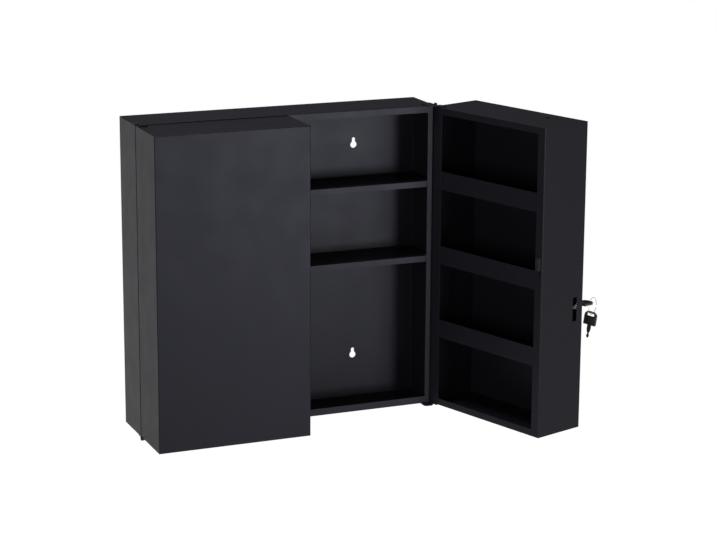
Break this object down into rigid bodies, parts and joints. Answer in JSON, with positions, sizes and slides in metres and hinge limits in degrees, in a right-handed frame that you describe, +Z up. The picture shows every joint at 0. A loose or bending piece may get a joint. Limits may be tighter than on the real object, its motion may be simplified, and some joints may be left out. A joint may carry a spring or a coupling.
{
  "type": "medicine cabinet",
  "caption": "Wall-hung sheet-steel medicine cabinet with two deep box doors that hold shelves of their own, a cam lock with its key and a spare key on a ring.",
  "frame": {"origin": "centre of the back face, which lies on the wall", "axes": "+X to the right as seen from the front, +Y into the wall, +Z up"},
  "size_m": [0.7537, 0.3414, 0.537],
  "materials": {
    "black_coat": "fine-textured satin powder coat",
    "plated_lock": "satin plated",
    "nickel_key": "nickel plated",
    "bare_steel": "zinc plated",
    "key_plastic": "moulded",
    "catch_plastic": "moulded",
    "magnet": "matt ferrite"
  },
  "bodies": {
    "cabinet": {"carcass": "black_coat", "back_panel": "black_coat", "upper_shelf": "black_coat", "lower_shelf": "black_coat", "catch_post": "black_coat", "strike_plate": "bare_steel", "post_rivet_left": "black_coat", "post_rivet_right": "black_coat", "left_top_hinge_plate": "black_coat", "left_top_hinge_pin": "black_coat", "left_bottom_hinge_plate": "black_coat", "left_bottom_hinge_pin": "black_coat", "right_top_hinge_plate": "black_coat", "right_top_hinge_pin": "black_coat", "right_bottom_hinge_plate": "black_coat", "right_bottom_hinge_pin": "black_coat"},
    "left_door": {"left_door_shell": "black_coat", "left_door_shelf_low": "black_coat", "left_door_shelf_middle": "black_coat", "left_door_shelf_high": "black_coat", "left_door_top_hinge_plate": "black_coat", "left_door_bottom_hinge_plate": "black_coat", "left_catch_housing": "catch_plastic", "left_magnet": "magnet"},
    "right_door": {"right_door_shell": "black_coat", "right_door_shelf_low": "black_coat", "right_door_shelf_middle": "black_coat", "right_door_shelf_high": "black_coat", "right_door_top_hinge_plate": "black_coat", "right_door_bottom_hinge_plate": "black_coat", "right_catch_housing": "catch_plastic", "right_magnet": "magnet", "lock_barrel": "plated_lock", "lock_nut": "plated_lock"},
    "lock_core": {"lock_plug": "plated_lock", "lock_cam": "plated_lock", "cam_screw": "plated_lock"},
    "key": {"key_blade": "nickel_key", "key_bow": "key_plastic"},
    "key_ring": {"key_ring": "nickel_key"},
    "spare_key": {"spare_key_blade": "nickel_key", "spare_key_bow": "key_plastic"}
  },
  "joints": [
    {"name": "left_door_swing", "type": "hinge", "parent": "cabinet", "child": "left_door", "pos_m": [-0.2639, -0.0917, 0], "axis": [0, 0, -1], "range_deg": [0, 150]},
    {"name": "right_door_swing", "type": "hinge", "parent": "cabinet", "child": "right_door", "pos_m": [0.2639, -0.0917, 0], "axis": [0, 0, 1], "range_deg": [-108.4, 41.6]},
    {"name": "lock_turn", "type": "hinge", "parent": "right_door", "child": "lock_core", "pos_m": [0.43384, -0.29432, -0.0534], "axis": [-0.9489, -0.3156, 0], "range_deg": [0, 90]},
    {"name": "key_pull", "type": "slide", "parent": "lock_core", "child": "key", "axis": [0.9489, 0.3156, 0], "range_m": [0, 0.02]},
    {"name": "ring_swing", "type": "hinge", "parent": "key", "child": "key_ring", "pos_m": [0.46405, -0.28848, -0.0534], "axis": [0.5793, -0.8151, 0], "range_deg": [0, 55]},
    {"name": "spare_key_swing", "type": "hinge", "parent": "key_ring", "child": "spare_key", "pos_m": [0.47396, -0.28144, -0.0758], "axis": [-0.8151, -0.5793, 0], "range_deg": [-60, 60]}
  ]
}
